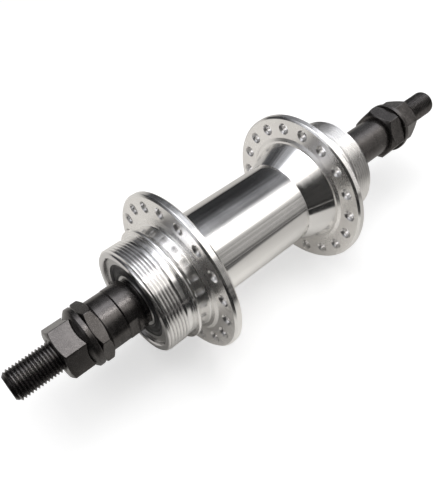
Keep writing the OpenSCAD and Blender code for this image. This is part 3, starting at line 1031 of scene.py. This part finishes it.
def right_wall(nodes, y, angle, band, streaks):
    """Level of the walls on the right."""
    wall = nodes.between(y, -0.1, 0.3, to_low=0.04, to_high=0.065)
    wall = nodes.plus(wall, nodes.times(band, RIGHT_BAND))
    wall = nodes.times(wall, nodes.between(streaks, 0.3, 0.7, to_low=0.6, to_high=1.4))
    wall = nodes.times(wall, nodes.between(angle, 2.0, 12.0, to_low=0.4))
    high = nodes.times(nodes.between(y, 0.1, 0.3), nodes.between(angle, 34.0, 46.0, to_high=0.2))
    return nodes.plus(wall, high, nodes.times(nodes.window(y, *PALE), PALE_LEVEL))


def studio(nodes, x, y, z):
    """What metal sees above the horizon: a panel overhead, and a streaked wall on each side."""
    angle = nodes.times(nodes.math("ARCTAN2", z, x), 180 / math.pi)
    band = nodes.window(y, *BAND)
    grain = nodes.add("ShaderNodeCombineXYZ", {0: angle, 1: nodes.times(y, STREAK_L)}).outputs[0]
    streaks = nodes.noise(grain, scale=0.16, detail=3.0, rough=0.7)
    fine = nodes.noise(grain, scale=0.9, detail=2.0, rough=0.6)
    left = left_wall(nodes, y, angle, band, streaks, fine)
    right = right_wall(nodes, y, angle, band, streaks)
    walls = nodes.mix_value(nodes.between(angle, *WALLS_MEET), right, left)
    level = nodes.plus(walls, overhead(nodes, y, angle, band))
    tint = nodes.mix(nodes.between(angle, *TINTS_MEET), WARM, COOL)
    lit = nodes.add("ShaderNodeVectorMath", {0: tint, 1: level}, operation="MULTIPLY")
    return lit.outputs["Vector"]


BELOW_HORIZON = (0.5, 0.48, 0.46)
DIM_LIGHT = (0.05, 0.05, 0.05)
HORIZON = (-0.02, 0.02)
RADIANCE = 3.0


def room():
    """World: white to the camera, the studio to metal, and a dim even light otherwise."""
    world = bpy.data.worlds.new("room")
    bpy.context.scene.world = world
    world.cycles.sampling_method = "NONE"
    world.use_nodes = True
    nodes = Nodes(world.node_tree)
    x, y, z = nodes.split(nodes.add("ShaderNodeTexCoord").outputs["Generated"])
    ray = nodes.add("ShaderNodeLightPath").outputs
    above = nodes.between(z, *HORIZON)
    seen_by_metal = nodes.mix(above, BELOW_HORIZON, studio(nodes, x, y, z))
    shown = nodes.mix(ray["Is Glossy Ray"], DIM_LIGHT, seen_by_metal)
    colour = nodes.mix(ray["Is Camera Ray"], shown, WHITE)
    background = nodes.add("ShaderNodeBackground", {"Color": colour, "Strength": 1.0})
    nodes.add("ShaderNodeOutputWorld", {"Surface": background.outputs[0]})


def softbox(name, place, size, aim):
    """Rectangular lamp of the studio's even radiance, turned towards a point."""
    lamp = bpy.data.lights.new(name, "AREA")
    lamp.shape = "RECTANGLE"
    lamp.size, lamp.size_y = size
    lamp.energy = RADIANCE * math.pi * size[0] * size[1]
    piece = bpy.data.objects.new(name, lamp)
    piece.location = place
    piece.rotation_mode = "QUATERNION"
    piece.rotation_quaternion = (Vector(aim) - Vector(place)).to_track_quat("-Z", "Y")
    piece.visible_camera = False
    piece.visible_glossy = False
    bpy.context.scene.collection.objects.link(piece)


# Place, focal length in millimetres, and right, up and back directions of the camera
CAMERA_AT = (0.0830, -0.0965, 0.1306)
FOCAL = 39.1
RIGHT, UP, BACK = (0.6735, 0.7392, 0.0), (-0.5633, 0.5133, 0.6475), (0.4786, -0.4361, 0.7620)


def camera():
    """Camera of the photograph: its place and lens were solved from the flanges, holes and axle."""
    lens = bpy.data.cameras.new("camera")
    lens.sensor_width = 36.0
    lens.lens = FOCAL
    lens.clip_start = 0.005
    lens.clip_end = 20.0
    piece = bpy.data.objects.new("camera", lens)
    turn = Matrix((RIGHT, UP, BACK)).transposed().to_4x4()
    piece.matrix_world = Matrix.Translation(CAMERA_AT) @ turn
    bpy.context.scene.collection.objects.link(piece)
    bpy.context.scene.camera = piece


camera()
floor()
room()
softbox("overhead_softbox", place=(-0.14, 0.0, 0.9), size=(0.98, 0.98), aim=(-0.14, 0.0, 0.0))
softbox("side_softbox", place=(0.42, 0.41, 0.68), size=(0.26, 0.3), aim=(0.0, 0.0, 0.0))
bpy.context.scene.view_settings.view_transform = "Standard"

BRUSHED = {"Metallic": 1.0, "Anisotropic": 0.8, "Anisotropic Rotation": 0.25}
FINISHES = {
    "polished_aluminium": surface(polished_aluminium, BRUSHED),
    "black_steel": surface(black_steel, {"Metallic": 0.9}),
    "bearing_steel": surface(ground_steel, {"Metallic": 1.0}),
    "cage_steel": surface(cage_steel, {"Metallic": 1.0}),
    "seal_rubber": surface(seal_rubber, {"Specular IOR Level": 0.35}),
}
# The bearings keep their CAD shapes
for part in frame["record"]["subparts"]:
    if "bearing" in part["node"]:
        coat(frame["nodes"][part["node"]].data, part["material_slot"])

hub_shell()
axle()
for makers in ((spacer, washer), (cone,), (locknut,), (axle_nut,)):
    for end in SIDES:
        for make in makers:
            make(end)
